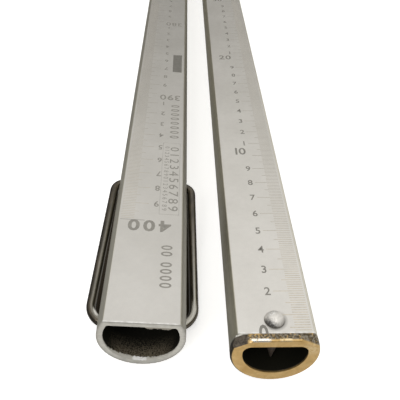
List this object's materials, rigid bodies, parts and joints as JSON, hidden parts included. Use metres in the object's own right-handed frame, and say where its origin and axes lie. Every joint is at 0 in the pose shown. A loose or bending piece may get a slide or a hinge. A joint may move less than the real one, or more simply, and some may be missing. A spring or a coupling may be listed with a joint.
{
  "type": "tank dipstick",
  "caption": "Folding D-section metal stick with a brass tip shoe, a knee hinge with a hook catch, a printed length scale and a wire bail, for reading liquid depth in tanks.",
  "frame": {"origin": "on the lower section's scale face, on its centre line, at the 1000 mm mark", "axes": "+Y along the stick away from the zero tip, +Z out of the lower section's scale face, +X to the right seen from the tip with the scale up"},
  "size_m": [0.084, 2.032, 0.028],
  "materials": {
    "tube_metal": "matte, finely etched",
    "brass": "filed, lightly tarnished",
    "rivet_metal": "satin",
    "dark_wire": "dark, oiled",
    "cast_metal": "cast, machined faces",
    "steel": "zinc plated"
  },
  "bodies": {
    "lower_section": {"lower_tube": "tube_metal", "tip_shoe": "brass", "shoe_rivet": "rivet_metal", "lower_hinge_block": "cast_metal", "hinge_pin": "steel", "pin_washers": "steel", "lower_block_rivets": "rivet_metal", "hook_rivet": "steel", "hook_washer": "brass"},
    "upper_section": {"upper_tube": "tube_metal", "upper_hinge_block": "cast_metal", "upper_block_rivets": "rivet_metal", "catch_stud": "steel"},
    "bail": {"bail_handle": "dark_wire"},
    "hook": {"catch_hook": "steel"}
  },
  "joints": [
    {"name": "knee", "type": "hinge", "parent": "lower_section", "child": "upper_section", "pos_m": [-0.0148, 1.0265, -0.00775], "axis": [-0.0401, -0.0002, -0.9992], "range_deg": [-0.25, 179.62]},
    {"name": "bail_pivot", "type": "hinge", "parent": "upper_section", "child": "bail", "pos_m": [-0.04239, -0.91536, -0.00517], "axis": [0.9968, -0.0066, -0.0802], "range_deg": [0, 150]},
    {"name": "hook_pivot", "type": "hinge", "parent": "lower_section", "child": "hook", "pos_m": [0.016, 1.0125, -0.00775], "axis": [-1, 0, 0], "range_deg": [0, 180]}
  ]
}
